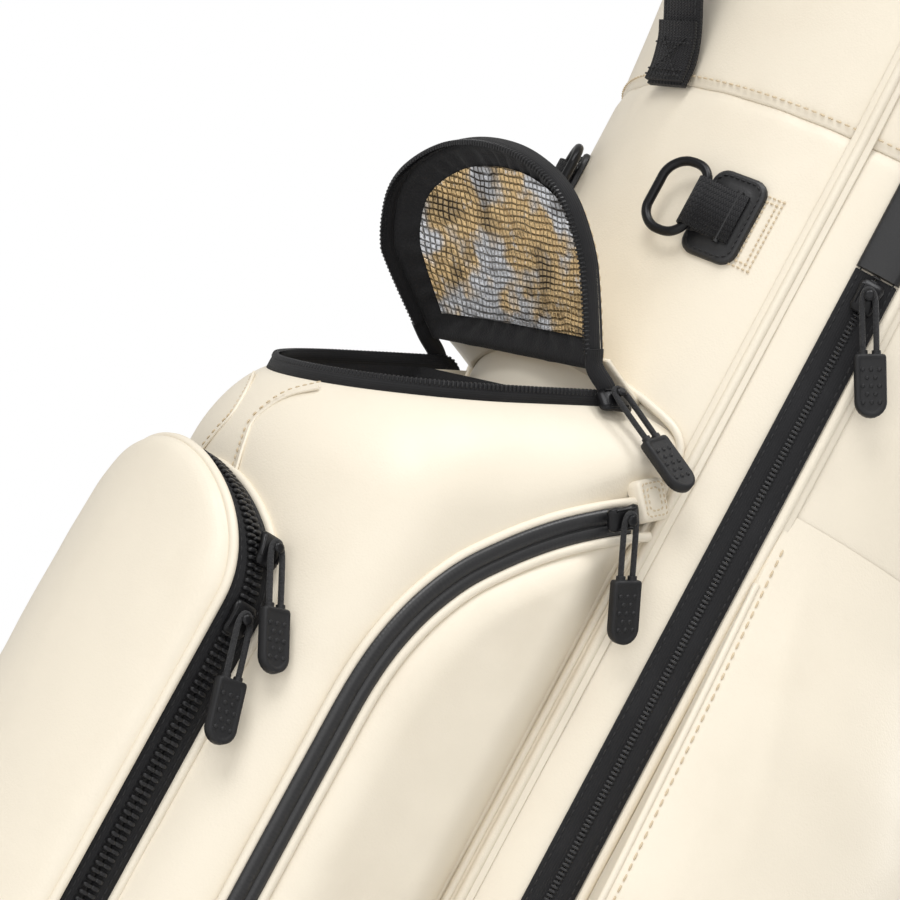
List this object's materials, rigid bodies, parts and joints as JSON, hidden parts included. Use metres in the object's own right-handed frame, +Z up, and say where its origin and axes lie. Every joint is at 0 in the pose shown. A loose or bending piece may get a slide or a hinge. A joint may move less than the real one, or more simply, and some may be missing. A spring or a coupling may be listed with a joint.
{
  "type": "golf staff bag",
  "caption": "Golf staff bag in cream coated leather with black trims, open cooler pocket, zipped ball and side pockets, D rings, zip pulls, collar and strap",
  "frame": {"origin": "centre of the round base on the plane it stands on", "axes": "+X right as seen from the front, +Y back, +Z up; the front pockets face -Y"},
  "size_m": [0.3, 0.4233, 0.89],
  "materials": {
    "cream_leather": "smooth coated leather, light grain, low sheen",
    "black_leather": "smooth coated leather, low sheen",
    "black_plastic": "moulded, fine texture",
    "tube_plastic": "rolled sheet, matt",
    "zip_black": "zip tape and teeth",
    "webbing_black": "woven nylon",
    "sleeve_fabric": "thin woven lining",
    "foil_lining": "crinkled metallised foil on fabric",
    "black_metal": "black coated metal, satin",
    "rubber_charcoal": "matt moulded rubber",
    "rubber_black": "matt moulded rubber",
    "cord_black": "braided cord",
    "rod_metal": "drawn rod"
  },
  "bodies": {
    "bag": {"base_shell": "black_plastic", "base_feet": "rubber_black", "floor_pad": "black_plastic", "barrel_tube": "tube_plastic", "body_skin": "cream_leather", "yoke_skin": "cream_leather", "spine_rods": "rod_metal", "top_collar": "black_plastic", "collar_band": "black_leather", "divider_grid": "black_plastic", "divider_sleeves": "sleeve_fabric", "front_handle": "webbing_black", "rear_handle": "black_plastic", "strap_webbing": "webbing_black", "strap_pad": "black_leather", "strap_plates": "black_leather", "ball_pocket_shell": "cream_leather", "cooler_wall": "cream_leather", "cooler_liner": "foil_lining", "cooler_rim_zip": "zip_black", "ball_zip_inner": "zip_black", "accessory_pocket_right": "cream_leather", "accessory_pocket_left": "cream_leather", "accessory_zips": "zip_black", "apparel_pocket_right": "cream_leather", "apparel_pocket_left": "cream_leather", "long_zips": "zip_black", "zip_covers": "black_leather", "dring_plates": "black_leather", "dring_slings": "webbing_black", "slider_ball_upper": "black_metal"},
    "cooler_lid": {"cooler_lid": "cream_leather", "cooler_lid_liner": "foil_lining", "cooler_lid_zip": "zip_black"},
    "ball_flap": {"ball_flap": "cream_leather", "ball_zip_outer": "zip_black"},
    "dring_right": {"dring_right": "black_metal"},
    "dring_left": {"dring_left": "black_metal"},
    "pull_zip_right": {"cord_zip_right": "cord_black", "tab_zip_right": "rubber_charcoal"},
    "slider_zip_right": {"slider_zip_right": "black_metal"},
    "pull_zip_left": {"cord_zip_left": "cord_black", "tab_zip_left": "rubber_charcoal"},
    "slider_zip_left": {"slider_zip_left": "black_metal"},
    "pull_accessory_right": {"cord_accessory_right": "cord_black", "tab_accessory_right": "rubber_charcoal"},
    "slider_accessory_right": {"slider_accessory_right": "black_metal"},
    "pull_accessory_left": {"cord_accessory_left": "cord_black", "tab_accessory_left": "rubber_charcoal"},
    "slider_accessory_left": {"slider_accessory_left": "black_metal"},
    "pull_cooler": {"cord_cooler": "cord_black", "tab_cooler": "rubber_charcoal"},
    "slider_cooler": {"slider_cooler": "black_metal"},
    "pull_ball_lower": {"cord_ball_lower": "cord_black", "tab_ball_lower": "rubber_charcoal"},
    "slider_ball_lower": {"slider_ball_lower": "black_metal"},
    "pull_ball_upper": {"cord_ball_upper": "cord_black", "tab_ball_upper": "rubber_charcoal"}
  },
  "joints": [
    {"name": "cooler_lid_hinge", "type": "hinge", "parent": "bag", "child": "cooler_lid", "pos_m": [0, -0.1215, 0.58481], "axis": [-1, 0, 0], "range_deg": [-75, 10]},
    {"name": "ball_flap_hinge", "type": "hinge", "parent": "bag", "child": "ball_flap", "pos_m": [0, -0.232, 0.157], "axis": [1, 0, 0], "range_deg": [0, 75]},
    {"name": "dring_right_swing", "type": "hinge", "parent": "bag", "child": "dring_right", "pos_m": [0.0509, -0.11355, 0.664], "axis": [0, 0, 1], "range_deg": [0, 150]},
    {"name": "dring_left_swing", "type": "hinge", "parent": "bag", "child": "dring_left", "pos_m": [-0.0509, -0.11355, 0.664], "axis": [0, 0, -1], "range_deg": [0, 150]},
    {"name": "slider_zip_right_slide", "type": "slide", "parent": "bag", "child": "slider_zip_right", "axis": [0, 0, -1], "range_m": [0, 0.06]},
    {"name": "slider_zip_left_slide", "type": "slide", "parent": "bag", "child": "slider_zip_left", "axis": [0, 0, -1], "range_m": [0, 0.52]},
    {"name": "slider_accessory_right_slide", "type": "slide", "parent": "bag", "child": "slider_accessory_right", "axis": [0, -0.8, -0.6], "range_m": [0, 0.02]},
    {"name": "slider_accessory_left_slide", "type": "slide", "parent": "bag", "child": "slider_accessory_left", "axis": [0, -0.8, -0.6], "range_m": [0, 0.02]},
    {"name": "slider_ball_lower_slide", "type": "slide", "parent": "bag", "child": "slider_ball_lower", "axis": [0, 0, -1], "range_m": [0, 0.23]},
    {"name": "slider_cooler_slide", "type": "slide", "parent": "bag", "child": "slider_cooler", "axis": [0.0084, -0.8977, -0.4405], "range_m": [0, 0.04]},
    {"name": "pull_zip_right_swing", "type": "hinge", "parent": "slider_zip_right", "child": "pull_zip_right", "pos_m": [0.10932, -0.06414, 0.658], "axis": [0.8625, -0.506, 0], "range_deg": [-60, 25]},
    {"name": "pull_zip_left_swing", "type": "hinge", "parent": "slider_zip_left", "child": "pull_zip_left", "pos_m": [-0.10932, -0.06414, 0.658], "axis": [-0.8625, -0.506, 0], "range_deg": [-40, 40]},
    {"name": "pull_accessory_right_swing", "type": "hinge", "parent": "slider_accessory_right", "child": "pull_accessory_right", "pos_m": [0.09955, -0.104, 0.539], "axis": [1, 0, 0], "range_deg": [-60, 12]},
    {"name": "pull_accessory_left_swing", "type": "hinge", "parent": "slider_accessory_left", "child": "pull_accessory_left", "pos_m": [-0.09955, -0.104, 0.539], "axis": [-1, 0, 0], "range_deg": [-40, 40]},
    {"name": "pull_cooler_swing", "type": "hinge", "parent": "slider_cooler", "child": "pull_cooler", "pos_m": [0.07075, -0.11598, 0.58183], "axis": [0.7204, -0.3001, 0.6253], "range_deg": [-15, 15]},
    {"name": "pull_ball_lower_swing", "type": "hinge", "parent": "slider_ball_lower", "child": "pull_ball_lower", "pos_m": [0.06748, -0.20721, 0.43753], "axis": [0.9656, -0.0431, 0.2565], "range_deg": [-20, 12]},
    {"name": "pull_ball_upper_swing", "type": "hinge", "parent": "bag", "child": "pull_ball_upper", "pos_m": [0.06215, -0.2071, 0.46596], "axis": [0.9248, 0.0063, 0.3805], "range_deg": [-20, 0]}
  ]
}
